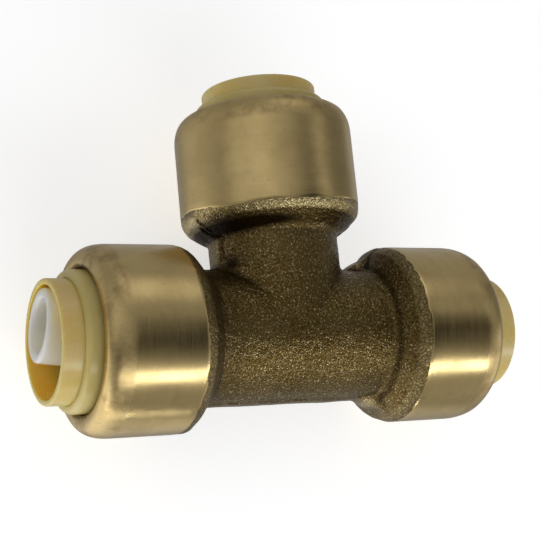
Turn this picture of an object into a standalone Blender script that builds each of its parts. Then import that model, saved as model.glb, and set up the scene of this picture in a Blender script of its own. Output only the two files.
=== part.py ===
"""Push-to-connect tee for 5/8 inch (15.9 mm) tube: one cast brass body with three sockets.

From its tube stop outwards, each socket holds an O-ring, the O-ring's protector, a stainless grab
ring, a retainer trapped under the rolled brass lip, and a release collar that slides in the
retainer. A plastic tube liner stands loose on each tube stop.

Frame: +Z up, run along X, branch along +Y, lying on its three barrels on the plane Z = 0. The
origin is on that plane, under the middle of the fitting. Along a socket, t is the distance from
the point where the three axes meet, and r the distance from the socket's own axis.
"""

import math

import bmesh
import bpy
from mathutils import Matrix, Vector

MM = 0.001

# The brass body's outside.
BARREL_R = 14.0 * MM
NECK_R = 10.15 * MM
BRANCH_NECK_R = 10.05 * MM
RUN_LIP_T = 32.8 * MM
RUN_BARREL_T = 18.9 * MM
RUN_NECK_T = 14.4 * MM
BRANCH_BARREL_T = 19.5 * MM
BRANCH_NECK_T = 15.2 * MM
SHOULDER_ROUND = 3.2 * MM
LIP_CREST_R = 11.6 * MM
LIP_DIP = 0.5 * MM
LIP_HOLE_R = 10.6 * MM
LIP_THICK = 1.3 * MM

# The body's inside. The branch's cartridge sits further out than the run's by BRANCH_SHIFT.
BRANCH_SHIFT = 2.3 * MM
WATERWAY_R = 6.35 * MM
BRANCH_WATERWAY_R = 6.25 * MM
STOP_T = 13.0 * MM
POCKET_R = 8.1 * MM
SEAL_T = 18.5 * MM
SEAL_BORE_R = 10.8 * MM
CARTRIDGE_T = 23.4 * MM
CARTRIDGE_BORE_R = 12.3 * MM
GAP = 0.25 * MM

# The cartridge, as t in a run socket.
O_RING_WIRE_R = 1.4 * MM
O_RING_INNER_R = 7.7 * MM
PROTECTOR_T = 21.85 * MM
PROTECTOR_CONE_T = 23.5 * MM
PROTECTOR_CONE_TOP = 24.9 * MM
PROTECTOR_BORE_R = 8.4 * MM
GRAB_T = 26.2 * MM
GRAB_THICK = 0.5 * MM
GRAB_EYE_R = 9.9 * MM
TOOTH_TIP_R = 7.8 * MM
TOOTH_TIP_T = 24.7 * MM
TOOTH_THICK = 0.4 * MM
TOOTH_SLOT = 0.9 * MM
TEETH = 12
RETAINER_TOP = 34.8 * MM
RETAINER_NOSE_R = LIP_HOLE_R - GAP
RETAINER_ROUND = 0.8 * MM

# The release collar at its outer stop, and how far in from there each one rests.
COLLAR_END = 37.9 * MM
COLLAR_R = 9.05 * MM
COLLAR_BORE_R = 8.2 * MM
COLLAR_EDGE = 0.2 * MM
COLLAR_NOSE_T = 28.1 * MM
COLLAR_FLANGE_T = 29.05 * MM
COLLAR_FLANGE_TOP = 30.15 * MM
COLLAR_FLANGE_R = 10.1 * MM
PUSHED_IN = {"left": 0.0, "right": 0.0, "branch": 0.7 * MM}

# The loose liner, from its flange's back face. Its tip leans against the collar. The left one has
# slid out, until its tip's edge stands LINER_OVERHANG beyond the collar's end.
LINER_LENGTH = 22.8 * MM
LINER_FLANGE_R = 7.55 * MM
LINER_FLANGE_THICK = 1.0 * MM
LINER_ROOT_R = 5.7 * MM
LINER_TIP_R = 5.4 * MM
LINER_BORE_R = 4.2 * MM
LEAN = math.asin((COLLAR_BORE_R - GAP - LINER_TIP_R) / LINER_LENGTH)
LEAN_FROM_DOWN = {"left": math.radians(81), "right": 0.0, "branch": 0.0}
SLID_OUT = {"left": 1.7 * MM, "right": 0.0, "branch": 0.0}
LINER_OVERHANG = 1.07 * MM

SEGMENTS = 40
INNER_SEGMENTS = 32
O_RING_SIDES = 8

# Name, colour, roughness and metallic value of each material.
BRASS = ("brass", (0.48, 0.36, 0.17), 0.32, 1.0)
TAN = ("tan_plastic", (0.66, 0.52, 0.25), 0.38, 0.0)
WHITE = ("white_plastic", (0.82, 0.81, 0.78), 0.35, 0.0)
RUBBER = ("rubber", (0.02, 0.02, 0.02), 0.6, 0.0)
BLACK = ("black_plastic", (0.08, 0.08, 0.08), 0.45, 0.0)
STEEL = ("stainless_steel", (0.62, 0.62, 0.6), 0.3, 1.0)


def clear_scene():
    for obj in list(bpy.data.objects):
        bpy.data.objects.remove(obj)


def new_collection(name, hidden=False):
    collection = bpy.data.collections.new(name)
    collection.hide_render = hidden
    bpy.context.scene.collection.children.link(collection)
    return collection


def material(finish):
    name, colour, roughness, metallic = finish
    made = bpy.data.materials.get(name) or bpy.data.materials.new(name)
    made.use_nodes = True
    shader = made.node_tree.nodes["Principled BSDF"]
    shader.inputs["Base Color"].default_value = (*colour, 1)
    shader.inputs["Roughness"].default_value = roughness
    shader.inputs["Metallic"].default_value = metallic
    return made


def add_object(name, mesh, collection, parent, finish=None):
    obj = bpy.data.objects.new(name, mesh)
    collection.objects.link(obj)
    obj.parent = parent
    if finish:
        mesh.materials.append(material(finish))
    return obj


def arc(centre, radii, start, end, steps):
    """Points of an ellipse's arc: 0 degrees points away from the axis, 90 degrees towards +t."""
    points = []
    for i in range(steps + 1):
        angle = math.radians(start + (end - start) * i / steps)
        points.append((centre[0] + radii[0] * math.cos(angle), centre[1] + radii[1] * math.sin(angle)))
    return points


def turned(name, profile, collection, parent, finish=None, segments=SEGMENTS, ring=True):
    """Turns (r, t) points, listed down their outer side, about the parent's Z axis.

    A ring's outline closes on itself. Without ring, the outline starts and ends on the axis.
    """
    edges = [(i, i + 1) for i in range(len(profile) - 1)]
    if ring:
        edges.append((len(profile) - 1, 0))
    mesh = bpy.data.meshes.new(name)
    mesh.from_pydata([(r, 0, t) for r, t in profile], edges, [])
    obj = add_object(name, mesh, collection, parent, finish)
    screw = obj.modifiers.new("turn", "SCREW")
    screw.axis = "Z"
    screw.steps = segments
    screw.render_steps = segments
    screw.use_merge_vertices = True
    screw.merge_threshold = 0.001 * MM
    return obj


def combine(obj, cutter, operation):
    cutter.hide_render = True
    cutter.display_type = "WIRE"
    modifier = obj.modifiers.new(operation.lower(), "BOOLEAN")
    modifier.operation = operation
    modifier.object = cutter


def socket_frame(name, outward, collection):
    """An empty where the three axes meet, with Z out of the socket and X straight up.

    That point is placed so that the middle of the whole part's box is above the origin.
    """
    out = Vector(outward)
    up = Vector((0, 0, 1))
    turn = Matrix((up, out.cross(up), out)).transposed()
    branch_reach = COLLAR_END + BRANCH_SHIFT - PUSHED_IN["branch"]
    empty = bpy.data.objects.new(name, None)
    empty.location = (LINER_OVERHANG / 2, (BARREL_R - branch_reach) / 2, BARREL_R)
    empty.rotation_euler = turn.to_euler()
    collection.objects.link(empty)
    return empty


def body_outline(lip_t, barrel_t, neck_t, neck_r):
    """The outside of one socket: rolled lip, barrel, rounded shoulder and its slope to the neck."""
    rounding = BARREL_R - LIP_CREST_R
    points = [(0, lip_t - LIP_DIP)]
    points += arc((LIP_CREST_R, lip_t - LIP_DIP), (LIP_CREST_R - LIP_HOLE_R + GAP, LIP_DIP), 180, 90, 2)
    points += arc((LIP_CREST_R, lip_t - rounding), (rounding, rounding), 72, 0, 4)
    points += arc((BARREL_R - SHOULDER_ROUND, barrel_t), (SHOULDER_ROUND, SHOULDER_ROUND), 0, -52, 4)
    points.append((neck_r, neck_t))
    return points


def cavity_outline(shift, waterway_r):
    """The inside of one socket, from beyond its mouth to its waterway."""
    lip_back = RUN_LIP_T - LIP_THICK
    points = [
        (0, RUN_LIP_T + MM),
        (LIP_HOLE_R, RUN_LIP_T + MM),
        (LIP_HOLE_R, lip_back),
        (CARTRIDGE_BORE_R, lip_back),
        (CARTRIDGE_BORE_R, CARTRIDGE_T),
        (SEAL_BORE_R, CARTRIDGE_T),
        (SEAL_BORE_R, SEAL_T),
        (POCKET_R, SEAL_T),
        (POCKET_R, STOP_T),
        (waterway_r, STOP_T),
    ]
    return [(r, t + shift) for r, t in points]


def both_ways(outline):
    """The run's whole outline, from that of its right half."""
    return outline + [(r, -t) for r, t in reversed(outline)]


def to_centre(outline, r):
    """A branch outline, carried on to the axes' meeting point at radius r."""
    return outline + [(r, 0), (0, 0)]


def make_body(parts, cutters, right, branch):
    run = body_outline(RUN_LIP_T, RUN_BARREL_T, RUN_NECK_T, NECK_R)
    stem = body_outline(RUN_LIP_T + BRANCH_SHIFT, BRANCH_BARREL_T, BRANCH_NECK_T, BRANCH_NECK_R)
    run_cavity = cavity_outline(0, WATERWAY_R)
    stem_cavity = cavity_outline(BRANCH_SHIFT, BRANCH_WATERWAY_R)
    body = turned("tee_body", both_ways(run), parts, right, BRASS, ring=False)
    stem = turned("branch_stem", to_centre(stem, BRANCH_NECK_R), cutters, branch, ring=False)
    run_bore = turned("run_bore", both_ways(run_cavity), cutters, right, ring=False)
    stem_bore = turned("branch_bore", to_centre(stem_cavity, BRANCH_WATERWAY_R), cutters, branch, ring=False)
    combine(body, stem, "UNION")
    combine(body, run_bore, "DIFFERENCE")
    combine(body, stem_bore, "DIFFERENCE")


def make_o_ring(side, collection, socket, shift):
    bpy.ops.mesh.primitive_torus_add(
        major_segments=INNER_SEGMENTS,
        minor_segments=O_RING_SIDES,
        major_radius=O_RING_INNER_R + O_RING_WIRE_R,
        minor_radius=O_RING_WIRE_R,
    )
    ring = bpy.context.object
    ring.name = f"{side}_o_ring"
    ring.data.materials.append(material(RUBBER))
    ring.users_collection[0].objects.unlink(ring)
    collection.objects.link(ring)
    ring.parent = socket
    ring.location.z = SEAL_T + GAP + O_RING_WIRE_R + shift


def protector_outline(shift):
    """A cup: its sleeve backs the O-ring, its rim carries the grab ring, its cone clears the teeth."""
    rim_r = CARTRIDGE_BORE_R - GAP
    sleeve_r = SEAL_BORE_R - GAP
    cone_r = GRAB_EYE_R + GAP
    points = [
        (rim_r, GRAB_T - GAP),
        (rim_r, CARTRIDGE_T + GAP),
        (sleeve_r, CARTRIDGE_T + GAP),
        (sleeve_r, PROTECTOR_T),
        (PROTECTOR_BORE_R, PROTECTOR_T),
        (PROTECTOR_BORE_R, PROTECTOR_CONE_T),
        (cone_r, PROTECTOR_CONE_TOP),
        (cone_r, GRAB_T - GAP),
    ]
    return [(r, t + shift) for r, t in points]


def grab_ring_outline(shift):
    """A flat ring whose inner part leans back into the socket, as the teeth do."""
    rim_r = CARTRIDGE_BORE_R - GAP
    half = TOOTH_THICK / 2
    points = [
        (rim_r, GRAB_T + GRAB_THICK),
        (rim_r, GRAB_T),
        (GRAB_EYE_R, GRAB_T),
        (TOOTH_TIP_R + half, TOOTH_TIP_T - half),
        (TOOTH_TIP_R, TOOTH_TIP_T + half),
        (GRAB_EYE_R - half, GRAB_T + GRAB_THICK),
    ]
    return [(r, t + shift) for r, t in points]


def retainer_outline(shift):
    """Its flange is trapped under the lip, and its nose guides the release collar."""
    guide_r = COLLAR_R + GAP
    flange_r = CARTRIDGE_BORE_R - GAP
    recess_r = COLLAR_FLANGE_R + GAP
    flange_t = GRAB_T + GRAB_THICK + GAP
    under_lip = RUN_LIP_T - LIP_THICK - GAP
    round_centre = (RETAINER_NOSE_R - RETAINER_ROUND, RETAINER_TOP - RETAINER_ROUND)
    points = [(guide_r, RETAINER_TOP)]
    points += arc(round_centre, (RETAINER_ROUND, RETAINER_ROUND), 90, 0, 3)
    points += [
        (RETAINER_NOSE_R, under_lip),
        (flange_r, under_lip),
        (flange_r, flange_t),
        (recess_r, flange_t),
        (recess_r, COLLAR_FLANGE_TOP + GAP),
        (guide_r, COLLAR_FLANGE_TOP + GAP),
    ]
    return [(r, t + shift) for r, t in points]


def collar_outline(shift):
    """The release collar, with the flange that keeps it in and the nose that lifts the teeth."""
    points = [
        (COLLAR_R - COLLAR_EDGE, COLLAR_END),
        (COLLAR_R, COLLAR_END - COLLAR_EDGE),
        (COLLAR_R, COLLAR_FLANGE_TOP),
        (COLLAR_FLANGE_R, COLLAR_FLANGE_TOP),
        (COLLAR_FLANGE_R, COLLAR_FLANGE_T),
        (COLLAR_R, COLLAR_FLANGE_T),
        (COLLAR_BORE_R + COLLAR_EDGE, COLLAR_NOSE_T),
        (COLLAR_BORE_R, COLLAR_NOSE_T),
        (COLLAR_BORE_R, COLLAR_END - COLLAR_EDGE),
        (COLLAR_BORE_R + COLLAR_EDGE, COLLAR_END),
    ]
    return [(r, t + shift) for r, t in points]


def liner_outline():
    """A thin sleeve on a flange, with a round tip; t runs from the flange's back face."""
    half_wall = (LINER_TIP_R - LINER_BORE_R) / 2
    tip_centre = (LINER_BORE_R + half_wall, LINER_LENGTH - half_wall)
    return arc(tip_centre, (half_wall, half_wall), 180, 0, 5) + [
        (LINER_ROOT_R, LINER_FLANGE_THICK),
        (LINER_FLANGE_R, LINER_FLANGE_THICK),
        (LINER_FLANGE_R, 0),
        (LINER_BORE_R, 0),
    ]


def slot_star(name, collection, socket, shift):
    """Boxes that reach from inside the teeth's tips out to the flat ring, one for each slot."""
    inner = TOOTH_TIP_R - MM
    size = Vector((GRAB_EYE_R - inner, TOOTH_SLOT, 4 * MM))
    middle = Vector((inner + size.x / 2, 0, (TOOTH_TIP_T + GRAB_T) / 2 + shift))
    shape = bmesh.new()
    for i in range(TEETH):
        turn = Matrix.Rotation(2 * math.pi * i / TEETH, 4, "Z")
        place = turn @ Matrix.Translation(middle) @ Matrix.Diagonal((*size, 1))
        bmesh.ops.create_cube(shape, size=1, matrix=place)
    mesh = bpy.data.meshes.new(name)
    shape.to_mesh(mesh)
    shape.free()
    return add_object(name, mesh, collection, socket)


def make_liner(side, parts, socket, shift):
    """Stands on one edge of its flange at the tube stop, or slid out from there, and leans."""
    liner = turned(f"{side}_tube_liner", liner_outline(), parts, socket, WHITE, INNER_SEGMENTS)
    seated_t = STOP_T + shift + GAP + LINER_FLANGE_R * math.sin(LEAN)
    liner.location.z = seated_t + SLID_OUT[side]
    aside = LEAN_FROM_DOWN[side]
    lean_axis = Vector((-math.sin(aside), -math.cos(aside), 0))
    liner.rotation_euler = Matrix.Rotation(LEAN, 3, lean_axis).to_euler()


def make_socket(side, parts, cutters, socket, shift):
    make_o_ring(side, parts, socket, shift)
    turned(f"{side}_o_ring_protector", protector_outline(shift), parts, socket, BLACK, INNER_SEGMENTS)
    grab = turned(f"{side}_grab_ring", grab_ring_outline(shift), parts, socket, STEEL, INNER_SEGMENTS)
    combine(grab, slot_star(f"{side}_tooth_slots", cutters, socket, shift), "DIFFERENCE")
    turned(f"{side}_collar_retainer", retainer_outline(shift), parts, socket, TAN)
    turned(f"{side}_release_collar", collar_outline(shift - PUSHED_IN[side]), parts, socket, TAN)
    make_liner(side, parts, socket, shift)


def main():
    clear_scene()
    parts = new_collection("push_to_connect_tee")
    cutters = new_collection("cutters", hidden=True)
    left = socket_frame("left_socket", (-1, 0, 0), parts)
    right = socket_frame("right_socket", (1, 0, 0), parts)
    branch = socket_frame("branch_socket", (0, 1, 0), parts)
    make_body(parts, cutters, right, branch)
    make_socket("left", parts, cutters, left, 0)
    make_socket("right", parts, cutters, right, 0)
    make_socket("branch", parts, cutters, branch, BRANCH_SHIFT)


main()
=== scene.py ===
"""The look of the push-to-connect tee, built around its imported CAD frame.

All shapes here are in millimetres in a socket's own frame, whose Z runs out along the socket's
axis from the point where the three axes meet and whose X points up. Each piece is scaled to
metres and placed by its object's matrix. t is a distance along the axis, r one from it.
"""

import math

import bpy
import numpy as np
from mathutils import Matrix, Vector, noise


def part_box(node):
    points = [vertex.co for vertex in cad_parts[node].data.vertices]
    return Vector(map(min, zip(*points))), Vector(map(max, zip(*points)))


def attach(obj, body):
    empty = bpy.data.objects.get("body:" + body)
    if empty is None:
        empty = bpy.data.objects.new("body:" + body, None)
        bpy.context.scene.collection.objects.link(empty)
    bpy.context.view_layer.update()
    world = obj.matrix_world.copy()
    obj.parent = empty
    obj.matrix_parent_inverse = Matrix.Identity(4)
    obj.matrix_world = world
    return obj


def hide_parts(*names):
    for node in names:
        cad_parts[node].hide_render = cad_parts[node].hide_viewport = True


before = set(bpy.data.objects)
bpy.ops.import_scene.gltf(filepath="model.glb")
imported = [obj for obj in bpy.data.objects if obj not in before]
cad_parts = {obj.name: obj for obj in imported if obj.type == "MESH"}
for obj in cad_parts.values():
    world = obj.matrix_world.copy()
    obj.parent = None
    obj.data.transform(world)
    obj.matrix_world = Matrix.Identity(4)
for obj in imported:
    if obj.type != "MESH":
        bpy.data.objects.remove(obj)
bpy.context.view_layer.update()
MM = 0.001
SIDES = ("left", "right", "branch")
OUTWARD = {"left": (-1, 0, 0), "right": (1, 0, 0), "branch": (0, 1, 0)}


# ---------------------------------------------------------------- where things are in the frame
def box_mm(node):
    low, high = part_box(node)
    return low / MM, high / MM


body_low, body_high = box_mm("tee_body")
collar_low, collar_high = box_mm("left_release_collar")
branch_low, branch_high = box_mm("branch_release_collar")
BARREL_R = (body_high.z - body_low.z) / 2
CENTRE = Vector((
    (branch_low.x + branch_high.x) / 2,
    (collar_low.y + collar_high.y) / 2,
    (body_low.z + body_high.z) / 2,
))
LIP_T = {
    "left": CENTRE.x - body_low.x,
    "right": body_high.x - CENTRE.x,
    "branch": body_high.y - CENTRE.y,
}
SHIFT = {side: LIP_T[side] - LIP_T["right"] for side in SIDES}


def reach(side, node):
    """The t of a node's inner and outer ends."""
    low, high = box_mm(f"{side}_{node}")
    if side == "left":
        return CENTRE.x - high.x, CENTRE.x - low.x
    if side == "right":
        return low.x - CENTRE.x, high.x - CENTRE.x
    return low.y - CENTRE.y, high.y - CENTRE.y


def socket_matrix(side):
    out = Vector(OUTWARD[side])
    up = Vector((0, 0, 1))
    turn = Matrix((up, out.cross(up), out)).transposed().to_4x4()
    return Matrix.Translation(CENTRE * MM) @ turn @ Matrix.Scale(MM, 4)


CORE_MATRIX = Matrix.Translation(CENTRE * MM) @ Matrix.Scale(MM, 4)

# The body in millimetres, as in the CAD.
NECK_R, BRANCH_NECK_R = 10.15, 10.05
NECK_T, BRANCH_NECK_T = 14.3, 15.2
CORNER_T, BRANCH_CORNER_T = 17.5, 17.9
SHOULDER_ROUND, BRANCH_SHOULDER_ROUND = 3.0, 2.5
MACHINED_T, BRANCH_MACHINED_T = 18.3, 18.45
CAST_R = BARREL_R - 0.06
WATERWAY_R, POCKET_R, STOP_T, SEAL_T = 6.35, 8.1, 13.0, 18.5
SEAL_BORE_R, CARTRIDGE_T, CARTRIDGE_BORE_R = 10.8, 23.4, 12.3
LIP_HOLE_R, LIP_THICK, LIP_ROUND, LIP_LENGTH, LIP_POWER = 10.6, 1.3, 2.4, 4.1, 0.84
# How far the branch's turning stopped short of its usual edge, by degrees round it from the top
# towards +X: where the flash was trimmed too low for the tool to reach.
TURN_ANGLES = (-180, -120, -88, -70, -46, 16, 30, 48, 80, 110, 150, 180)
TURN_SHORT = (0.7, 0.9, 0.8, 0.15, -0.1, 0.0, 0.5, 1.0, 1.2, 0.9, 0.3, 0.7)
TRIM_HALF, TRIM_PROUD = 1.5, 0.2
# The cartridge's pieces in millimetres. Places along the axis are those of a run socket.
RETAINER_BORE_R, RETAINER_R, RETAINER_BACK_T = 9.09, 10.35, 30.4
COLLAR_BORE_R, COLLAR_R, COLLAR_TIP_R, COLLAR_FLANGE_R = 8.2, 9.05, 8.42, 10.1
COLLAR_END_T, COLLAR_FLANGE_T, COLLAR_FLANGE_THICK = 37.9, 29.05, 1.1
LINER_BORE_R, LINER_TIP_R, LINER_ROOT_R = 3.9, 5.4, 5.7
LINER_FLANGE_R, LINER_FLANGE_THICK = 7.55, 1.0
FLANGE_R = 12.05


# ---------------------------------------------------------------- meshes
def rounded(corners, steps=6):
    """The outline through (r, t, fillet radius) corners, each fillet as steps + 1 points."""
    points = []
    count = len(corners)
    for i, (r, t, fillet) in enumerate(corners):
        here = Vector((r, t))
        if fillet <= 0:
            points.append((r, t))
            continue
        before = (Vector(corners[i - 1][:2]) - here).normalized()
        after = (Vector(corners[(i + 1) % count][:2]) - here).normalized()
        half = math.acos(max(-1, min(1, before.dot(after)))) / 2
        centre = here + (before + after).normalized() * fillet / math.sin(half)
        start = here + before * fillet / math.tan(half) - centre
        end = here + after * fillet / math.tan(half) - centre
        a0 = math.atan2(start.y, start.x)
        sweep = (math.atan2(end.y, end.x) - a0 + math.pi) % (2 * math.pi) - math.pi
        for k in range(steps + 1):
            a = a0 + sweep * k / steps
            points.append((centre.x + fillet * math.cos(a), centre.y + fillet * math.sin(a)))
    return points


def finer(points, longest):
    """A closed outline with its long edges split, so that none is longer than that."""
    made = []
    for (r0, t0), (r1, t1) in zip(points, points[1:] + points[:1]):
        parts = max(1, math.ceil(math.hypot(r1 - r0, t1 - t0) / longest))
        for k in range(parts):
            made.append((r0 + (r1 - r0) * k / parts, t0 + (t1 - t0) * k / parts))
    return made


def add_mesh(name, points, faces, matrix, sharp=35):
    mesh = bpy.data.meshes.new(name)
    mesh.from_pydata([tuple(p) for p in points], [], [tuple(f) for f in faces])
    mesh.validate()
    mesh.shade_smooth()
    mesh.set_sharp_from_angle(angle=math.radians(sharp))
    obj = bpy.data.objects.new(name, mesh)
    bpy.context.scene.collection.objects.link(obj)
    obj.matrix_world = matrix
    return obj


def turned_points(outline, segments):
    ring = np.array(outline, float)
    angle = np.arange(segments) * 2 * math.pi / segments
    x = ring[:, None, 0] * np.cos(angle)
    y = ring[:, None, 0] * np.sin(angle)
    z = np.repeat(ring[:, None, 1], segments, axis=1)
    return np.stack([x, y, z], axis=-1)


def turned_faces(count, segments):
    """Quads of a closed outline turned all the way round, facing out where r, t turn clockwise."""
    i, j = np.meshgrid(np.arange(count), np.arange(segments), indexing="ij")
    i2, j2 = (i + 1) % count, (j + 1) % segments
    quads = [i * segments + j, i2 * segments + j, i2 * segments + j2, i * segments + j2]
    return np.stack(quads, axis=-1).reshape(-1, 4)


def turned(name, outline, matrix, segments=192, bend=None, sharp=35):
    """A ring turned about Z from a closed outline. bend changes its points before they are used."""
    area = sum(r0 * t1 - r1 * t0 for (r0, t0), (r1, t1) in zip(outline, outline[1:] + outline[:1]))
    if area > 0:
        outline = outline[::-1]
    points = turned_points(outline, segments)
    if bend:
        points = bend(points)
    return add_mesh(name, points.reshape(-1, 3), turned_faces(len(outline), segments), matrix, sharp)


def use(obj, body, material, slot, *nodes):
    """Gives a finished piece its material and its body, and hides the CAD nodes that it stands for."""
    obj.data.materials.clear()
    obj.data.materials.append(material)
    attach(obj, body)
    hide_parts(*nodes)
    return obj


def noise_at(points, scale, depth=0):
    """Smooth noise, about -1 to 1, at each point."""
    if depth:
        return np.array([noise.fractal(Vector(p) * scale, 1.0, 2.0, depth) for p in points])
    return np.array([noise.noise(Vector(p) * scale) for p in points])


# ---------------------------------------------------------------- the casting's shape
def smooth_join(a, b, radius):
    """The union of two distances, with a fillet of that radius where they meet."""
    u = np.maximum(radius - a, 0)
    v = np.maximum(radius - b, 0)
    return np.maximum(radius, np.minimum(a, b)) - np.sqrt(u * u + v * v)


class Shoulder:
    """Distance to the swelling from a neck to its barrel, read from a table over r and t."""

    STEP = 0.05

    def __init__(self, neck_r, neck_t, corner_t, rounding):
        corners = [(0, neck_t, 0), (neck_r, neck_t, 0), (CAST_R, corner_t, rounding)]
        corners += [(CAST_R, 40, 0), (0, 40, 0)]
        outline = rounded(corners, 16)
        self.t0 = neck_t - 7
        r = np.arange(0, 20, self.STEP)
        t = np.arange(self.t0, corner_t + 9, self.STEP)
        grid = np.stack(np.meshgrid(r, t, indexing="ij"), axis=-1)
        best = np.full(grid.shape[:2], 1e9)
        inside = np.zeros(grid.shape[:2], bool)
        for p, q in zip(outline, outline[1:] + outline[:1]):
            p, q = np.array(p, float), np.array(q, float)
            edge = q - p
            along = np.clip(((grid - p) @ edge) / (edge @ edge), 0, 1)
            best = np.minimum(best, np.linalg.norm(grid - p - along[..., None] * edge, axis=-1))
            crosses = (p[1] > grid[..., 1]) != (q[1] > grid[..., 1])
            if edge[1]:
                at = p[0] + (grid[..., 1] - p[1]) * edge[0] / edge[1]
                inside ^= crosses & (grid[..., 0] < at)
        self.table = np.where(inside, -best, best)

    def __call__(self, r, t):
        i = np.clip(r / self.STEP, 0, self.table.shape[0] - 1.001)
        j = np.clip((t - self.t0) / self.STEP, 0, self.table.shape[1] - 1.001)
        i0, j0 = i.astype(int), j.astype(int)
        u, v = i - i0, j - j0
        near = self.table[i0, j0] * (1 - v) + self.table[i0, j0 + 1] * v
        far = self.table[i0 + 1, j0] * (1 - v) + self.table[i0 + 1, j0 + 1] * v
        outside = np.maximum(self.t0 - t, 0)
        return near * (1 - u) + far * u + outside


RUN_SHOULDER = Shoulder(NECK_R, NECK_T, CORNER_T, SHOULDER_ROUND)
BRANCH_SHOULDER = Shoulder(BRANCH_NECK_R, BRANCH_NECK_T, BRANCH_CORNER_T, BRANCH_SHOULDER_ROUND)
# Where the flash left a web in the corner between neck and shoulder on the right of the run,
# towards the branch and away from it: x, y, radius of its reach.
WEBS = ((14.6, 10.2, 3.4), (14.6, -10.2, 3.4))
WEB_HALF = 2.6


def raw_casting(x, y, z, saddle, groove):
    """Distance to the casting. saddle and groove are the fillets at the branch and the shoulders."""
    run_r = np.sqrt(y * y + z * z)
    stem_r = np.sqrt(x * x + z * z)
    alike = z * z / np.maximum(run_r * stem_r, 1e-6)
    blend = saddle * (1 - np.minimum(alike, 1) ** 2) + 0.02
    made = smooth_join(run_r - NECK_R, np.maximum(stem_r - BRANCH_NECK_R, -y), blend)
    made = smooth_join(made, RUN_SHOULDER(run_r, np.abs(x)), groove)
    return smooth_join(made, BRANCH_SHOULDER(stem_r, y), np.minimum(groove, 0.8))


def plain_casting(p):
    """Distance to the casting without its trimmed parting line."""
    x, y, z = p[..., 0], p[..., 1], p[..., 2]
    web = 0
    for at_x, at_y, radius in WEBS:
        near = ((x - at_x) ** 2 + (y - at_y) ** 2) / radius ** 2 + (z / WEB_HALF) ** 4
        web = web + np.exp(-near)
    return raw_casting(x, y, z, 1.3, 0.6 + 4.2 * web)


def casting(p):
    """Distance to the casting with the thin proud band that trimming left along its parting line."""
    x, y, z = p[..., 0], p[..., 1], p[..., 2]
    wander = 0.16 * np.sin(x * 0.55 + 0.8 * np.sin(y * 0.4)) + 0.1 * np.sin(x * 1.7 + y * 1.3)
    band = np.where(y > 9, 1.9, TRIM_HALF)
    side = np.abs(z + wander * 0.6) - band - wander
    plain = plain_casting(p)
    return np.minimum(plain, np.maximum(plain - TRIM_PROUD, side))


def curvature(field, p, reach):
    """Positive where the field's surface bulges, negative where it is hollow, per millimetre."""
    total = -6 * field(p)
    for axis in range(3):
        offset = np.zeros(3)
        offset[axis] = reach
        total += field(p + offset) + field(p - offset)
    return total / reach ** 2


def slope(field, p, step=0.05):
    made = np.empty_like(p)
    for axis in range(3):
        offset = np.zeros(3)
        offset[axis] = step
        made[..., axis] = field(p + offset) - field(p - offset)
    return made / np.maximum(np.linalg.norm(made, axis=-1, keepdims=True), 1e-9)


def surface_net(field, low, high, pitch):
    """The surface where field is 0, as quads with one point in each grid cell that it crosses."""
    axes = [np.arange(low[a], high[a] + pitch, pitch) for a in range(3)]
    shape = tuple(len(a) for a in axes)
    value = np.empty(shape, np.float32)
    for i, x in enumerate(axes[0]):
        yz = np.stack(np.meshgrid([x], axes[1], axes[2], indexing="ij"), axis=-1)[0]
        value[i] = field(yz)
    inside = value < 0
    cells = tuple(n - 1 for n in shape)
    corner = [(a, b, c) for a in (0, 1) for b in (0, 1) for c in (0, 1)]

    def shifted(array, at):
        return array[at[0]:at[0] + cells[0], at[1]:at[1] + cells[1], at[2]:at[2] + cells[2]]

    count = sum(shifted(inside, at).astype(np.int8) for at in corner)
    active = (count > 0) & (count < 8)
    where = np.argwhere(active)
    number = np.full(cells, -1, np.int32)
    number[active] = np.arange(len(where))
    total = np.zeros((len(where), 3))
    crossings = np.zeros(len(where))
    at_corner = {at: value[tuple((where + at).T)] for at in corner}
    for a in corner:
        for axis in range(3):
            if a[axis]:
                continue
            b = tuple(v + (k == axis) for k, v in enumerate(a))
            va, vb = at_corner[a], at_corner[b]
            cross = (va < 0) != (vb < 0)
            share = np.where(cross, va / np.where(cross, va - vb, 1), 0)
            point = np.array(a, float) + share[:, None] * (np.array(b) - np.array(a))
            total += point * cross[:, None]
            crossings += cross
    points = (where + total / crossings[:, None]) * pitch + np.array([a[0] for a in axes])
    faces = []
    for axis in range(3):
        b, c = (axis + 1) % 3, (axis + 2) % 3
        near = [slice(1, -1)] * 3
        near[axis] = slice(0, -1)
        far = list(near)
        far[axis] = slice(1, None)
        start, end = inside[tuple(near)], inside[tuple(far)]
        base = np.array([1, 1, 1])
        base[axis] = 0
        for crossing, flip in ((start & ~end, False), (~start & end, True)):
            edge = np.argwhere(crossing) + base
            ring = []
            for db, dc in ((-1, -1), (0, -1), (0, 0), (-1, 0)):
                at = edge.copy()
                at[:, b] += db
                at[:, c] += dc
                ring.append(number[tuple(at.T)])
            quad = np.stack(ring, axis=-1)
            faces.append(quad[:, ::-1] if flip else quad)
    return points, np.concatenate(faces)


def carve(obj, solver, tools):
    """Cuts the tools out of a piece, and removes them."""
    for tool in tools:
        modifier = obj.modifiers.new(tool.name, "BOOLEAN")
        modifier.operation = "DIFFERENCE"
        modifier.solver = solver
        modifier.object = tool
    graph = bpy.context.evaluated_depsgraph_get()
    made = bpy.data.meshes.new_from_object(obj.evaluated_get(graph))
    obj.modifiers.clear()
    obj.data = made
    for tool in tools:
        bpy.data.objects.remove(tool)
    return obj


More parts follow.
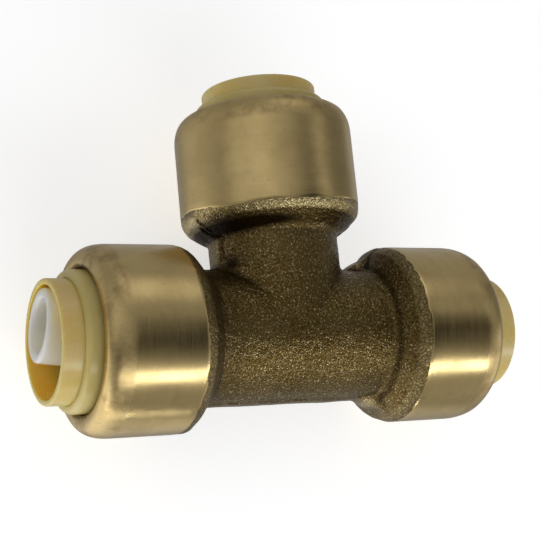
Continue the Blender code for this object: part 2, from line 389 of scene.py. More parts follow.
def cutter(name, outline, matrix, segments=128):
    """A solid turned from an outline that starts and ends on the axis."""
    ring = turned_points(outline[1:-1], segments)
    count = len(outline) - 2
    faces = [list(f) for f in turned_faces(count, segments)[: (count - 1) * segments]]
    faces.append(list(range(segments)))
    faces.append(list(range(count * segments - 1, (count - 1) * segments - 1, -1)))
    obj = add_mesh(name, ring.reshape(-1, 3), faces, matrix)
    obj.hide_render = True
    return obj


# Blow holes in the run: x, degrees round it from +Y towards +Z, size.
PITS = ((-5.2, 117, 0.4), (3.7, 117, 0.45), (-0.5, 104, 0.3), (-8.0, 108, 0.3), (9.0, 231, 0.25))
# A cold shut that follows the parting line's edge out of the branch's shoulder and down its neck.
CRACK = ((-12.4, 16.8, 0.9), (-11.4, 16.2, 0.9), (-10.6, 15.7, 1.4), (-9.9, 15.2, 2.0), (-9.5, 14.9, 2.8))
RAGGED = ((-9.75, 14.6, 2.4), (-9.7, 13.4, 2.2), (-9.7, 12.2, 2.5), (-9.5, 11.2, 3.1), (-9.7, 10.6, 2.2))
CRACK_WIDTH, CRACK_DEPTH = 0.26, 0.55
RAGGED_WIDTH, RAGGED_DEPTH = 0.35, 0.16
# Where the casting's surface is cut off inside the barrels, and the grid that it is made on.
RUN_END, BRANCH_END = 19.3, 21.7
GRID_PITCH, QUICK_PITCH = 0.225, 0.42


def distance_to_line(points, line):
    """How far each point is from a line through some corners."""
    best = np.full(len(points), 1e9)
    for p, q in zip(line, line[1:]):
        p, q = np.array(p), np.array(q)
        along = np.clip(((points - p) @ (q - p)) / ((q - p) @ (q - p)), 0, 1)
        best = np.minimum(best, np.linalg.norm(points - p - along[:, None] * (q - p), axis=1))
    return best


def ended(field):
    """The same field, cut off square inside the barrels so that its surface closes."""
    return lambda p: np.maximum(field(p), np.maximum(np.abs(p[..., 0]) - RUN_END, p[..., 1] - BRANCH_END))


def socket_cut(side, end):
    """What is bored out of the casting for one socket, from outside it in to the waterway."""
    seat, stop = SEAL_T + SHIFT[side], STOP_T + SHIFT[side]
    bore = SEAL_BORE_R + 0.05
    outside = [(0, end + 5), (16, end + 5), (16, end)]
    return outside + [(bore, end), (bore, seat), (POCKET_R, seat), (POCKET_R, stop)]


def core_relief(points, band, split, ragged):
    """How far the blasted, pitted and cracked skin stands off the smooth casting at each point."""
    grain = 0.03 * noise_at(points, 1.15) + 0.024 * noise_at(points + 31.7, 2.3)
    swell = 0.10 * noise_at(points + 7.3, 0.22) + 0.05 * noise_at(points - 11.9, 0.6)
    height = (1 - 0.7 * band) * grain + swell
    for x, angle, size in PITS:
        a = math.radians(angle)
        at = np.array([x, NECK_R * math.cos(a), NECK_R * math.sin(a)])
        near = np.linalg.norm(points - at, axis=1) / size
        height -= 0.35 * size * np.exp(-near * near)
    height -= CRACK_DEPTH * split + RAGGED_DEPTH * ragged
    return height


def core_paint(points, split, ragged):
    """Where the casting is darkened by oxide and painted shade in its hollows, creases and crack, and where
    its proud edges are rubbed bare, with painted highlights on them.
    """
    x, y = points[:, 0], points[:, 1]
    run_r, stem_r = np.hypot(y, points[:, 2]), np.hypot(x, points[:, 2])
    on_run = (np.abs(x) > 14) & (y < 14)
    # Oxide and painted shade in concave places, from the surface's curvature.
    oxide_and_shade = np.clip((-0.3 - curvature(plain_casting, points, 0.55)) / 1.0, 0, 0.8)
    saddle = (np.abs(x) < 12.4) & (y < 13.4)
    oxide_and_shade *= np.where(saddle, np.clip((-4.5 - x) / 5, 0.12, 1), 1)
    # Bare metal rubbed on proud edges, and a painted highlight: the branch's bead is lifted more than the
    # run's shoulders.
    rubbed_and_glint = np.clip((curvature(plain_casting, points, 0.9) - 0.24) / 0.30, 0, 1)
    rubbed_and_glint *= np.where(on_run, 0.6, 1.5)
    tongue = np.linalg.norm((points - (14.6, -10.4, 0)) / (2.6, 3.0, 3.2), axis=1)
    oxide_and_shade *= 1 - 0.8 * np.exp(-tongue ** 4)
    # The crack and ragged edge are painted dark too: painted shade in them.
    oxide_and_shade = np.maximum(oxide_and_shade, np.maximum(split, 0.6 * ragged))
    # Painted shade under the branch's shoulder, in its left corner and round the run's right neck.
    painted_shade = np.exp(-(((stem_r - 11.25) / 1.4) ** 2 + ((y - 15.95) / 1.1) ** 2))
    painted_shade *= np.clip(0.4 - x / 7, 0, 1.5)
    corner = np.linalg.norm((points - (-9.2, 10.5, 3.8)) / (1.3, 1.3, 1.7), axis=1)
    painted_shade = np.maximum(painted_shade, 0.85 * np.exp(-corner * corner))
    neck = np.exp(-(((run_r - 10.9) / 0.9) ** 2 + ((x - 14.8) / 0.75) ** 2))
    painted_shade = np.maximum(painted_shade, np.where(y < 9.5, 0.62 * neck, 0))
    oxide_and_shade = np.minimum(np.maximum(oxide_and_shade, painted_shade), 1)
    # Both run shoulders a little darker, and painted shade on the core beside the left barrel.
    darker_shoulders_and_shade = np.where(on_run, 0.27, 0.3 * np.clip((-9 - x) / 3, 0, 1) * (y < 9.5))
    oxide_and_shade = np.maximum(oxide_and_shade, darker_shoulders_and_shade)
    # A painted highlight: a thin bright line along the branch's neck groove on its right, which also lifts
    # the painted shade there.
    groove = np.exp(-(((stem_r - 10.7) / 0.4) ** 2 + ((y - 15.3) / 0.45) ** 2))
    groove *= np.clip(x / 3 - 0.4, 0, 1)
    rubbed_and_glint = np.clip(np.maximum(rubbed_and_glint, groove), 0, 1)
    return oxide_and_shade * (1 - 0.9 * groove), rubbed_and_glint


def squeeze(points, axes, beyond):
    """Keeps the casting inside its barrel's radius, measured across two axes, where it is beyond."""
    over = np.maximum(np.hypot(points[:, axes[0]], points[:, axes[1]]), 1e-6)
    points[:, axes] *= np.where(beyond, np.minimum(1, (CAST_R + 0.02) / over), 1)[:, None]


def make_core():
    """The casting: its surface with the blasted skin, bored out for the three sockets."""
    pitch = GRID_PITCH
    low, high = (-20, -CAST_R - 1, -CAST_R - 1), (20, 22.4, CAST_R + 1)
    whole = ended(casting)
    points, faces = surface_net(ended(plain_casting), low, high, pitch)
    for _ in range(2):
        points -= slope(whole, points) * whole(points)[:, None]
    normal = slope(whole, points, 0.12)
    band = np.clip((TRIM_HALF + 0.25 - np.abs(points[:, 2])) / 0.3, 0, 1)
    split = np.exp(-(distance_to_line(points, CRACK) / CRACK_WIDTH) ** 2)
    ragged = np.exp(-(distance_to_line(points, RAGGED) / RAGGED_WIDTH) ** 2)
    oxide_and_shade, rubbed_and_glint = core_paint(points, split, ragged)
    points = points + normal * core_relief(points, band, split, ragged)[:, None]
    squeeze(points, [1, 2], (np.abs(points[:, 0]) > 14.5) & (points[:, 1] < 14.2))
    squeeze(points, [0, 2], points[:, 1] > 15.5)
    core = add_mesh("cast_core", points, faces, CORE_MATRIX, sharp=60)
    layers = {"trim": band, "oxide_and_shade": oxide_and_shade, "rubbed_and_glint": rubbed_and_glint, "skin": np.ones(len(points))}
    for name, values in layers.items():
        core.data.attributes.new(name, "FLOAT", "POINT").data.foreach_set("value", values)
    run = socket_cut("right", MACHINED_T + 0.45) + [(WATERWAY_R, STOP_T)]
    run += [(r, -t) for r, t in reversed(run)]
    stem = socket_cut("branch", BRANCH_MACHINED_T + 1.9)
    stem += [(WATERWAY_R - 0.1, stem[-1][1]), (WATERWAY_R - 0.1, 0), (0, 0)]
    run_tool = cutter("run_cut", run, socket_matrix("right"))
    stem_tool = cutter("stem_cut", stem, socket_matrix("branch"))
    return carve(core, "MANIFOLD", [run_tool, stem_tool])


# ---------------------------------------------------------------- the turned pieces
def barrel_outline(side):
    lip = LIP_T[side]
    shift = SHIFT[side]
    machined = BRANCH_MACHINED_T if side == "branch" else MACHINED_T
    crest_r = BARREL_R - LIP_ROUND
    outer = [(BARREL_R - 0.12, machined + 0.02)]
    outer += [(BARREL_R - 0.02 / k, machined + 0.3 * k) for k in range(1, 4)]
    outer += [(BARREL_R, machined + 1 + (lip - LIP_LENGTH - machined - 1) * k / 14) for k in range(14)]
    for k in range(29):
        a = math.radians(90 * k / 28)
        across, along = max(math.cos(a), 0) ** LIP_POWER, math.sin(a) ** LIP_POWER
        outer.append((crest_r + LIP_ROUND * across, lip - LIP_LENGTH + LIP_LENGTH * along))
    for k in range(1, 9):
        a = math.radians(90 + 80 * k / 8)
        outer.append((crest_r - 1.02 * -math.cos(a), lip - 0.5 + 0.5 * math.sin(a)))
    back = lip - LIP_THICK
    inner = rounded([
        (LIP_HOLE_R, lip - 0.62, 0),
        (LIP_HOLE_R, back, 0.12),
        (CARTRIDGE_BORE_R, back, 0.25),
        (CARTRIDGE_BORE_R, CARTRIDGE_T + shift, 0.15),
        (SEAL_BORE_R, CARTRIDGE_T + shift, 0.2),
        (SEAL_BORE_R, SEAL_T + shift + 0.1, 0),
        (SEAL_BORE_R, machined + 0.4, 0),
        (13.2, machined + 0.4, 0),
        (13.4, machined + 0.2, 0),
    ])
    return outer + inner, machined


def make_barrel(side):
    outline, machined = barrel_outline(side)
    seed = {"left": 3.0, "right": 17.0, "branch": 41.0}[side]
    uneven = 1 if side == "branch" else 0.15

    def wander(points):
        """Makes the edge where turning stopped uneven, as it is where a tool runs onto a casting."""
        near = np.clip(1 - (points[..., 2] - machined) / 4.0, 0, 1)
        near *= points[..., 0] ** 2 + points[..., 1] ** 2 > 13.8 ** 2
        flat = points.reshape(-1, 3) * (1, 1, 0) + (0, 0, seed)
        drift = 0.2 * noise_at(flat, 0.16) + 0.08 * noise_at(flat, 0.7)
        angle = np.degrees(np.arctan2(flat[:, 1], flat[:, 0]))
        drift += uneven * np.interp(angle, TURN_ANGLES, TURN_SHORT)
        points[..., 2] += near * drift.reshape(near.shape)
        lip = np.clip((points[..., 2] - LIP_T[side] + LIP_LENGTH) / 1.6, 0, 1)
        dent = noise_at(points.reshape(-1, 3) + seed, 0.3).reshape(lip.shape) - 0.5
        points[..., :2] *= 1 + (0.045 * lip * dent / np.hypot(points[..., 0], points[..., 1]))[..., None]
        return points

    return turned(f"{side}_barrel", outline, socket_matrix(side), 288, wander, 40)


def make_retainer(side):
    shift = SHIFT[side]
    inner, top = reach(side, "collar_retainer")
    lip_under = LIP_T["right"] - LIP_THICK - 0.25 + shift
    outline = rounded([
        (RETAINER_BORE_R, top, 0.16),
        (RETAINER_R, top, 0.8),
        (RETAINER_R, lip_under, 0.12),
        (FLANGE_R, lip_under, 0.2),
        (FLANGE_R, inner, 0.15),
        (RETAINER_R, inner, 0.15),
        (RETAINER_R, RETAINER_BACK_T + shift, 0.12),
        (RETAINER_BORE_R, RETAINER_BACK_T + shift, 0.12),
    ], 8)
    return turned(f"{side}_retainer", finer(outline, 0.8), socket_matrix(side), 224)


def make_collar(side):
    inner, end = reach(side, "release_collar")
    back = COLLAR_FLANGE_T + end - COLLAR_END_T
    front = back + COLLAR_FLANGE_THICK
    outline = rounded([
        (COLLAR_BORE_R, end, 0.22),
        (COLLAR_R, end, 0.3),
        (COLLAR_R, front, 0.12),
        (COLLAR_FLANGE_R, front, 0.12),
        (COLLAR_FLANGE_R, back, 0.12),
        (COLLAR_R, back, 0.05),
        (COLLAR_TIP_R, inner, 0.08),
        (COLLAR_BORE_R, inner, 0.08),
    ], 7)
    return turned(f"{side}_collar", finer(outline, 0.7), socket_matrix(side), 256)


def liner_pose(side):
    """Where the CAD's liner is in its socket's frame, from its flange's back face out, and how long."""
    into = socket_matrix(side).inverted()
    co = np.array([into @ v.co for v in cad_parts[f"{side}_tube_liner"].data.vertices])
    middle = co.mean(0)
    _, _, rows = np.linalg.svd(co - middle)
    axis = rows[0] * np.sign(rows[0][2])
    along = (co - middle) @ axis
    z = Vector(axis)
    x = (Vector((1, 0, 0)) - z * z.x).normalized()
    turn = Matrix((x, z.cross(x), z)).transposed()
    return np.array(turn), middle + axis * along.min(), along.max() - along.min()


def make_liner(side):
    turn, start, length = liner_pose(side)
    outline = rounded([
        (LINER_BORE_R, 0, 0.2),
        (LINER_FLANGE_R, 0, 0.2),
        (LINER_FLANGE_R, LINER_FLANGE_THICK, 0.2),
        (LINER_ROOT_R, LINER_FLANGE_THICK, 0.35),
        (LINER_TIP_R, length, 0.55),
        (LINER_BORE_R, length, 0.7),
    ], 8)

    def lean(points):
        return points @ turn.T + start

    return turned(f"{side}_liner", finer(outline, 0.8), socket_matrix(side), 160, lean)


def make_o_ring(side):
    inner, outer = reach(side, "o_ring")
    wire = (outer - inner) / 2
    outline = []
    for k in range(32):
        a = 2 * math.pi * k / 32
        flash = 0.03 if k in (0, 16) else 0
        outline.append((7.7 + wire + (wire + flash) * math.cos(a), inner + wire + wire * math.sin(a)))
    return turned(f"{side}_seal", outline, socket_matrix(side), 160)


def make_protector(side):
    s = SHIFT[side]
    outline = rounded([
        (FLANGE_R, 25.95 + s, 0.1),
        (FLANGE_R, 23.65 + s, 0.2),
        (10.55, 23.65 + s, 0.15),
        (10.55, 21.85 + s, 0.2),
        (8.4, 21.85 + s, 0.25),
        (8.4, 23.5 + s, 0.15),
        (10.15, 24.9 + s, 0.15),
        (10.15, 25.95 + s, 0.1),
    ], 5)
    return turned(f"{side}_seal_backing", finer(outline, 0.8), socket_matrix(side), 144)


def make_grab_ring(side):
    """A steel ring with twelve teeth that lean back into the socket, slotted by round-ended cuts."""
    s = SHIFT[side]
    outline = rounded([
        (FLANGE_R, 26.7 + s, 0.08),
        (FLANGE_R, 26.2 + s, 0.08),
        (9.9, 26.2 + s, 0.35),
        (8.0, 24.5 + s, 0.03),
        (7.8, 24.9 + s, 0.03),
        (9.7, 26.7 + s, 0.35),
    ], 4)
    ring = turned(f"{side}_teeth", outline, socket_matrix(side), 240)
    points, faces = [], []
    for k in range(12):
        turn = Matrix.Rotation(2 * math.pi * k / 12, 3, "Z")
        flat = [(6.5, -0.45), (9.6, -0.45)]
        flat += [(9.6 + 0.45 * math.sin(a), -0.45 * math.cos(a)) for a in np.radians(range(15, 180, 15))]
        flat += [(9.6, 0.45), (6.5, 0.45)]
        start, n = len(points), len(flat)
        points += [turn @ Vector((x, y, z + s)) for z in (23, 28) for x, y in flat]
        faces.append([start + i for i in reversed(range(n))])
        faces.append([start + n + i for i in range(n)])
        faces += [[start + i, start + (i + 1) % n, start + n + (i + 1) % n, start + n + i] for i in range(n)]
    return carve(ring, "EXACT", [add_mesh("slot_cut", points, faces, socket_matrix(side))])


# ---------------------------------------------------------------- materials
class Look:
    """A material's node tree, with short calls to add nodes to it."""

    def __init__(self, name):
        self.material = bpy.data.materials.new(name)
        self.material.use_nodes = True
        self.tree = self.material.node_tree
        self.shader = self.tree.nodes["Principled BSDF"]
        coords = self.tree.nodes.new("ShaderNodeTexCoord")
        self.at = coords.outputs["Object"]
        self.x, self.y, self.z = self.parts(self.at)

    def node(self, kind, inputs, **settings):
        made = self.tree.nodes.new(kind)
        for key, value in settings.items():
            setattr(made, key, value)
        for key, value in inputs.items():
            socket = made.inputs[key]
            if isinstance(value, bpy.types.NodeSocket):
                self.tree.links.new(value, socket)
            else:
                socket.default_value = value
        return made

    def parts(self, vector):
        made = self.node("ShaderNodeSeparateXYZ", {0: vector})
        return made.outputs[0], made.outputs[1], made.outputs[2]

    def math(self, operation, *values):
        return self.node("ShaderNodeMath", dict(enumerate(values)), operation=operation).outputs[0]

    def vector(self, x, y, z):
        return self.node("ShaderNodeCombineXYZ", {0: x, 1: y, 2: z}).outputs[0]

    def stretched(self, sx, sy, sz, offset=0.0):
        made = self.node("ShaderNodeMapping", {"Vector": self.at, "Scale": (sx, sy, sz)})
        made.inputs["Location"].default_value = (offset, offset * 0.7, offset * 1.3)
        return made.outputs[0]

    def noise(self, vector, scale=1.0, detail=2.0, roughness=0.5):
        made = self.node("ShaderNodeTexNoise", {
            "Vector": vector, "Scale": scale, "Detail": detail, "Roughness": roughness})
        return made.outputs["Factor"] if "Factor" in made.outputs else made.outputs["Fac"]

    def span(self, value, low, high, to_low=0.0, to_high=1.0, smooth=True):
        made = self.node("ShaderNodeMapRange", {0: value, 1: low, 2: high, 3: to_low, 4: to_high})
        made.interpolation_type = "SMOOTHSTEP" if smooth else "LINEAR"
        return made.outputs[0]

    def mix(self, share, a, b):
        made = self.node("ShaderNodeMix", {0: share}, data_type="RGBA")
        for socket, value in ((made.inputs[6], a), (made.inputs[7], b)):
            if isinstance(value, bpy.types.NodeSocket):
                self.tree.links.new(value, socket)
            else:
                socket.default_value = (*value, 1)
        return made.outputs[2]

    def attribute(self, name):
        return self.node("ShaderNodeAttribute", {}, attribute_name=name).outputs["Fac"]

    def from_axis(self):
        """The distance from the socket's axis."""
        across = self.vector(self.x, self.y, 0.0)
        return self.node("ShaderNodeVectorMath", {0: across}, operation="LENGTH").outputs[1]

    def bump(self, height, distance, strength=1.0):
        inputs = {"Height": height, "Distance": distance, "Strength": strength}
        return self.node("ShaderNodeBump", inputs).outputs[0]

    def set(self, **values):
        for key, value in values.items():
            socket = self.shader.inputs[key.replace("_", " ")]
            if isinstance(value, bpy.types.NodeSocket):
                self.tree.links.new(value, socket)
            elif isinstance(value, tuple) and len(value) == 3 and socket.type == "RGBA":
                socket.default_value = (*value, 1)
            else:
                socket.default_value = value


def cast_brass():
    """Shot-blasted cast brass, brown with oxide, with bare brass on its grains and trimmed flash, oxide and
    painted shade near black in its hollows, and bare metal with painted highlights on its proud edges.
    """
    look = Look("cast_brass")
    fine = look.noise(look.at, 3.1, 2.0, 0.6)
    coarse = look.noise(look.at, 1.1, 2.0, 0.5)
    patch = look.noise(look.at, 0.12, 2.0, 0.5)
    speck = look.noise(look.stretched(1, 1, 1, 40), 4.2, 1.0, 0.5)
    trim = look.attribute("trim")
    oxide_and_shade = look.attribute("oxide_and_shade")
    rubbed_and_glint = look.attribute("rubbed_and_glint")
    bare = look.math("MULTIPLY", look.span(speck, 0.54, 0.68), look.span(fine, 0.46, 0.62))
    colour = look.mix(look.span(fine, 0.36, 0.66), (0.102, 0.061, 0.013), (0.20, 0.138, 0.047))
    colour = look.mix(look.span(patch, 0.4, 0.68, 0, 0.4), colour, (0.205, 0.145, 0.055))
    colour = look.mix(look.math("MULTIPLY", bare, 0.74), colour, (0.74, 0.64, 0.40))
    # Bare brass on rubbed edges, and a painted highlight on the branch's bead.
    rub_and_glint_share = look.math("MULTIPLY", rubbed_and_glint, look.span(fine, 0.38, 0.60, 0.38, 0.78))
    rub_and_glint_share = look.math("MULTIPLY", rub_and_glint_share, look.span(coarse, 0.3, 0.7, 0.6, 1.0))
    colour = look.mix(rub_and_glint_share, colour, (0.70, 0.57, 0.28))
    colour = look.mix(look.math("MULTIPLY", trim, 0.4), colour, (0.24, 0.19, 0.115))
    # Oxide and painted shade: near black in the hollows and creases.
    colour = look.mix(look.span(oxide_and_shade, 0.05, 0.9, 0, 0.96), colour, (0.014, 0.006, 0.001))
    rough = look.math("ADD", look.span(fine, 0.36, 0.62, 0.42, 0.21), look.math("MULTIPLY", oxide_and_shade, 0.3))
    rough = look.math("SUBTRACT", rough, look.math("MULTIPLY", rubbed_and_glint, 0.05))
    skin = look.attribute("skin")
    colour = look.mix(skin, (0.62, 0.46, 0.20), colour)
    rough = look.span(skin, 0, 1, 0.3, rough, smooth=False)
    height = look.math("ADD", look.math("MULTIPLY", fine, 1.0), look.math("MULTIPLY", coarse, 0.9))
    height = look.math("MULTIPLY", height, look.span(trim, 0, 1, 1.0, 0.5))
    height = look.math("MULTIPLY", height, skin)
    look.set(Base_Color=colour, Metallic=1.0, Roughness=rough, Normal=look.bump(height, 0.165 * MM, 1.0))
    return look.material


def turned_brass(side):
    """Turned brass with fine rings, slanting scratches on its rolled lip and a little dulling."""
    look = Look(f"turned_brass_{side}")
    rings = look.noise(look.stretched(0.03, 0.03, 9.0), 1.0, 3.0, 0.7)
    fine = look.noise(look.stretched(0.05, 0.05, 26.0, 5), 1.0, 2.0, 0.6)
    angle = look.math("ARCTAN2", look.y, look.x)
    climb = look.math("ADD", look.math("MULTIPLY", look.z, 1.6), look.math("MULTIPLY", angle, 6.0))
    slant = look.vector(look.math("MULTIPLY", angle, 34.0), climb, 0.0)
    scratch = look.noise(slant, 1.0, 2.0, 0.6)
    on_lip = look.span(look.z, LIP_T[side] - LIP_LENGTH - 0.3, LIP_T[side] - LIP_LENGTH + 1.4)
    cloud = look.noise(look.at, 0.16, 3.0, 0.55)
    spots = look.noise(look.at, 0.75, 2.0, 0.5)
    colour = look.mix(look.span(cloud, 0.35, 0.7), (0.70, 0.53, 0.24), (0.63, 0.47, 0.205))
    colour = look.mix(look.span(rings, 0.35, 0.7, 0, 0.22), colour, (0.53, 0.385, 0.16))
    scratched = look.math("MULTIPLY", on_lip, look.span(scratch, 0.4, 0.65, 0, 0.3))
    colour = look.mix(scratched, colour, (0.50, 0.37, 0.17))
    colour = look.mix(look.span(spots, 0.66, 0.76, 0, 0.25), colour, (0.42, 0.31, 0.14))
    height = look.math("ADD", look.math("MULTIPLY", rings, 1.0), look.math("MULTIPLY", fine, 0.4))
    height = look.math("MULTIPLY", height, look.span(on_lip, 0, 1, 1.0, 0.35))
    cut = look.math("MULTIPLY", look.math("MULTIPLY", scratch, on_lip), 1.3)
    height = look.math("ADD", height, cut)
    smudge = look.noise(look.stretched(1, 1, 1, 9), 0.33, 3.0, 0.6)
    stain = look.math("MULTIPLY", look.span(smudge, 0.47, 0.68), look.span(on_lip, 0, 1, 0.14, 0.68))
    colour = look.mix(stain, colour, (0.40, 0.27, 0.12))
    grime = look.math("ADD", look.from_axis(), look.math("MULTIPLY", look.math("SUBTRACT", spots, 0.5), 0.8))
    grime = look.math("MULTIPLY", look.span(grime, 10.85, 11.35, 1, 0), on_lip)
    colour = look.mix(look.math("MULTIPLY", grime, 0.7), colour, (0.07, 0.04, 0.012))
    rough = look.math("ADD", look.span(cloud, 0.3, 0.7, 0.19, 0.25), look.span(on_lip, 0, 1, 0.0, 0.11))
    rough = look.math("ADD", rough, look.math("MULTIPLY", grime, 0.25))
    look.set(Base_Color=colour, Metallic=1.0, Roughness=rough, Normal=look.bump(height, 0.011 * MM, 1.0))
    return look.material


def plastic(name, light, deep, rough, scatter, seed, bore=None):
    """Moulded plastic that light passes through, with a deeper tint in clouds and flow lines.

    scatter is the light's share, depth in millimetres and reach in red, green and blue. bore is the colour
    painted on its inside, a deeper amber that stands in for light glowing through the thin wall, and the
    radius that it ends at.
    """
    look = Look(name)
    cloud = look.noise(look.stretched(1, 1, 1, seed), 0.22, 2.0, 0.5)
    flow = look.noise(look.stretched(0.25, 0.25, 1.6, seed), 1.0, 2.0, 0.5)
    grain = look.noise(look.stretched(1, 1, 1, seed), 4.5, 2.0, 0.5)
    colour = look.mix(look.span(cloud, 0.3, 0.7), light, deep)
    colour = look.mix(look.span(flow, 0.5, 0.75, 0, 0.18), colour, deep)
    if bore:
        # Painted glow: the inside takes the bore colour, standing in for light through the wall.
        inside = look.span(look.from_axis(), bore[1] - 0.05, bore[1] + 0.05, 1, 0)
        colour = look.mix(inside, colour, bore[0])
    height = look.math("ADD", look.math("MULTIPLY", grain, 0.4), flow)
    look.set(
        Base_Color=colour, Metallic=0.0, Roughness=look.span(cloud, 0.3, 0.7, rough, rough + 0.07),
        Subsurface_Weight=scatter[0], Subsurface_Scale=scatter[1] * MM,
        Normal=look.bump(height, 0.03 * MM, 0.6),
    )
    look.shader.inputs["Subsurface Radius"].default_value = scatter[2]
    return look.material


def rubber():
    look = Look("rubber_black")
    grain = look.noise(look.at, 5.0, 3.0, 0.6)
    bloom = look.noise(look.at, 0.5, 2.0, 0.5)
    colour = look.mix(look.span(bloom, 0.4, 0.7), (0.014, 0.014, 0.015), (0.034, 0.034, 0.036))
    rough = look.span(grain, 0.3, 0.7, 0.36, 0.5)
    look.set(Base_Color=colour, Roughness=rough, Normal=look.bump(grain, 0.02 * MM, 0.6))
    return look.material


def dark_plastic():
    look = Look("backing_plastic")
    grain = look.noise(look.at, 3.5, 3.0, 0.6)
    colour = look.mix(look.span(grain, 0.35, 0.65), (0.055, 0.055, 0.058), (0.09, 0.09, 0.093))
    rough = look.span(grain, 0.3, 0.7, 0.42, 0.55)
    look.set(Base_Color=colour, Roughness=rough, Normal=look.bump(grain, 0.03 * MM, 0.6))
    return look.material


def steel():
    look = Look("spring_steel")
    rolled = look.noise(look.stretched(0.2, 6.0, 0.2), 1.0, 3.0, 0.6)
    heat = look.span(look.from_axis(), 7.8, 9.4, 0.7, 0.0)
    colour = look.mix(look.span(rolled, 0.3, 0.7), (0.60, 0.60, 0.585), (0.48, 0.48, 0.465))
    colour = look.mix(heat, colour, (0.52, 0.50, 0.44))
    rough = look.span(rolled, 0.3, 0.7, 0.22, 0.34)
    look.set(Base_Color=colour, Metallic=1.0, Roughness=rough, Normal=look.bump(rolled, 0.01 * MM, 0.7))
    return look.material


# ---------------------------------------------------------------- build
CAST = cast_brass()
TURNED = {side: turned_brass(side) for side in SIDES}
# The collar's inside is painted a deeper amber, a painted glow of light through its wall.
TAN = plastic(
    "collar_cream", (0.85, 0.70, 0.31), (0.80, 0.62, 0.20), 0.24,
    (0.8, 1.4, (1.0, 0.62, 0.16)), 0, ((0.92, 0.66, 0.10), COLLAR_BORE_R + 0.1))
RETAINER = plastic(
    "retainer_cream", (0.76, 0.63, 0.26), (0.71, 0.575, 0.20), 0.18,
    (0.6, 1.2, (1.0, 0.7, 0.25)), 60)
WHITE = plastic(
    "liner_white", (0.94, 0.915, 0.84), (0.93, 0.89, 0.79), 0.14,
    (0.85, 2.4, (1.0, 0.86, 0.62)), 20)
RUBBER = rubber()
BACKING = dark_plastic()
STEEL = steel()

use(make_core(), "fitting", CAST, "brass", "tee_body")
for side in SIDES:
    use(make_barrel(side), "fitting", TURNED[side], "brass", "tee_body")
    use(make_retainer(side), "fitting", RETAINER, "tan_plastic", f"{side}_collar_retainer")
    use(make_o_ring(side), "fitting", RUBBER, "rubber", f"{side}_o_ring")
    use(make_protector(side), "fitting", BACKING, "black_plastic", f"{side}_o_ring_protector")
    use(make_collar(side), f"{side}_collar", TAN, "tan_plastic", f"{side}_release_collar")
    use(make_liner(side), f"{side}_liner", WHITE, "white_plastic", f"{side}_tube_liner")
    use(make_grab_ring(side), f"{side}_ring", STEEL, "stainless_steel", f"{side}_grab_ring")


# ---------------------------------------------------------------- floor, light and camera
def make_floor():
    """A pale sweep: flat under the part and curving up on every side, far outside the view."""
    outline = [(0.0, 0.0), (0.15, 0.0), (0.5, 0.0)]
    outline += [(0.5 + 0.3 * math.sin(a), 0.3 - 0.3 * math.cos(a)) for a in np.radians(range(10, 91, 10))]
    outline += [(0.8, 1.4)]
    segments = 64
    points = [(0.0, 0.0, -0.00005)]
    for r, z in outline[1:]:
        for k in range(segments):
            a = 2 * math.pi * k / segments
            points.append((r * math.cos(a), r * math.sin(a), z - 0.00005))
    faces = [(0, 1 + k, 1 + (k + 1) % segments) for k in range(segments)]
    for i in range(len(outline) - 2):
        a, b = 1 + i * segments, 1 + (i + 1) * segments
        faces += [(a + k, b + k, b + (k + 1) % segments, a + (k + 1) % segments) for k in range(segments)]
    floor = add_mesh("floor", points, faces, Matrix.Identity(4))
    look = Look("pale_floor")
    paper = look.noise(look.at, 260.0, 2.0, 0.5)
    look.set(
        Base_Color=look.mix(paper, (0.86, 0.86, 0.86), (0.88, 0.88, 0.88)), Roughness=0.9,
        Specular_IOR_Level=0.1, Emission_Color=(1.0, 1.0, 1.0), Emission_Strength=0.62,
    )
    floor.data.materials.append(look.material)
    for rays in ("diffuse", "glossy", "transmission", "volume_scatter", "shadow"):
        setattr(floor, f"visible_{rays}", False)


def direction(azimuth, elevation):
    a, e = math.radians(azimuth), math.radians(elevation)
    return Vector((math.cos(a) * math.cos(e), math.sin(a) * math.cos(e), math.sin(e)))


# The room's light where no lamp is: azimuth from +X towards +Y, elevation, half-widths of the full
# and of the whole patch in degrees, and what it adds.
ROOM_LIGHT = 0.30
ROOM_PATCHES = (
    (66, -15, 0, 34, 0.02),
    (72, 36, 0, 21, 0.46),
    (0, 62, 0, 26, -0.12),
    (-33, 58, 0, 21, -0.20),
    (18, 38, 0, 15, 0.13),
    (8, 57, 0, 14, -0.16),
    (18, 8, 0, 32, -0.12),
    (-69, -43, 0, 27, 0.32),
    (-31, -7, 4, 22, 0.5),
    (-14, 7, 2, 21, 0.6),
    (162, -30, 0, 44, 0.12),
    (168, 25, 0, 26, 0.05),
    (150, 60, 0, 26, 0.12),
    (-178, -4, 0, 26, -0.08),
    (155, 40, 0, 34, 0.20),
    (120, 68, 0, 30, 0.10),
    (-138, -36, 12, 52, 0.93),
    (-140, 56, 5, 30, -0.14),
    (30, -45, 0, 40, 0.05),
)


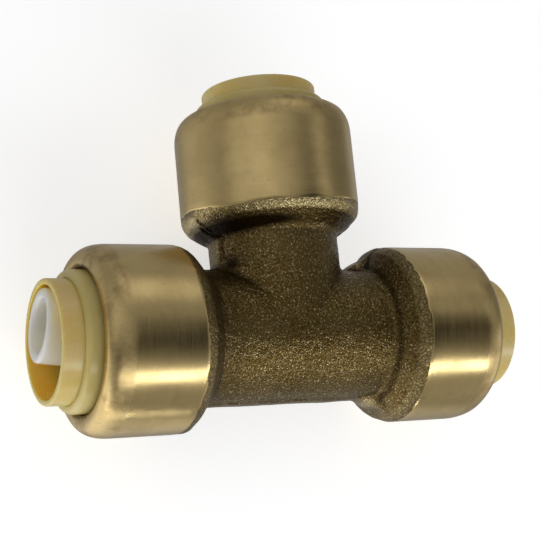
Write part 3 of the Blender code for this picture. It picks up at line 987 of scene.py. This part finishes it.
def make_world():
    world = bpy.data.worlds.new("room")
    bpy.context.scene.world = world
    world.use_nodes = True
    tree = world.node_tree
    coords = tree.nodes.new("ShaderNodeTexCoord")
    total = None
    for azimuth, elevation, full, whole, amount in ROOM_PATCHES:
        dot = tree.nodes.new("ShaderNodeVectorMath")
        dot.operation = "DOT_PRODUCT"
        dot.inputs[1].default_value = direction(azimuth, elevation)
        tree.links.new(coords.outputs["Generated"], dot.inputs[0])
        patch = tree.nodes.new("ShaderNodeMapRange")
        patch.interpolation_type = "SMOOTHSTEP"
        patch.inputs[1].default_value = math.cos(math.radians(whole))
        patch.inputs[2].default_value = math.cos(math.radians(full))
        patch.inputs[4].default_value = amount
        tree.links.new(dot.outputs["Value"], patch.inputs[0])
        add = tree.nodes.new("ShaderNodeMath")
        add.operation = "ADD"
        add.inputs[0].default_value = ROOM_LIGHT
        if total:
            tree.links.new(total, add.inputs[0])
        tree.links.new(patch.outputs[0], add.inputs[1])
        total = add.outputs[0]
    tree.links.new(total, tree.nodes["Background"].inputs["Strength"])
    tree.nodes["Background"].inputs["Color"].default_value = (1, 1, 1, 1)


# Soft boxes: elevation in degrees and sideways lean of the direction from the part, height, brightness.
LAMPS = {"key": (37.5, 0.28, 0.085, 3.5), "low_edge": (-13, -0.35, 0.020, 7.4)}
LAMP_DISTANCE, LAMP_WIDTH, LAMP_COLOUR = 0.42, 0.62, (0.97, 1.0, 1.05)


def make_lamp(name, elevation, lean, height, brightness):
    """A long rectangular soft box. brightness is its radiance as the object's metal mirrors it."""
    data = bpy.data.lights.new(name, "AREA")
    data.shape = "RECTANGLE"
    data.size, data.size_y = LAMP_WIDTH, height
    data.energy = brightness * math.pi * LAMP_WIDTH * height
    data.color = LAMP_COLOUR
    obj = bpy.data.objects.new(name, data)
    bpy.context.scene.collection.objects.link(obj)
    up = math.radians(elevation)
    back = Vector((lean, -math.cos(up), math.sin(up))).normalized()
    along = Vector((1, 0, 0))
    along = (along - back * along.dot(back)).normalized()
    turn = Matrix((along, back.cross(along), back)).transposed().to_4x4()
    obj.matrix_world = Matrix.Translation(CENTRE * MM + back * LAMP_DISTANCE) @ turn
    obj.visible_camera = False


def make_camera():
    data = bpy.data.cameras.new("camera")
    data.lens = 86.36
    data.sensor_width = 36
    data.clip_start, data.clip_end = 0.01, 10
    camera = bpy.data.objects.new("camera", data)
    bpy.context.scene.collection.objects.link(camera)
    right = Vector((0.890480, -0.095455, 0.444898))
    down = Vector((0.003051, -0.976474, -0.215614))
    forward = Vector((0.455013, 0.193357, -0.869239))
    turn = Matrix((right, -down, -forward)).transposed().to_4x4()
    place = Vector((-0.092492, -0.028378, 0.174979)) + CENTRE * MM
    camera.matrix_world = Matrix.Translation(place) @ turn
    bpy.context.scene.camera = camera


make_floor()
make_world()
for name, settings in LAMPS.items():
    make_lamp(name, *settings)
make_camera()
bpy.context.scene.view_settings.view_transform = "Standard"

bpy.context.view_layer.update()
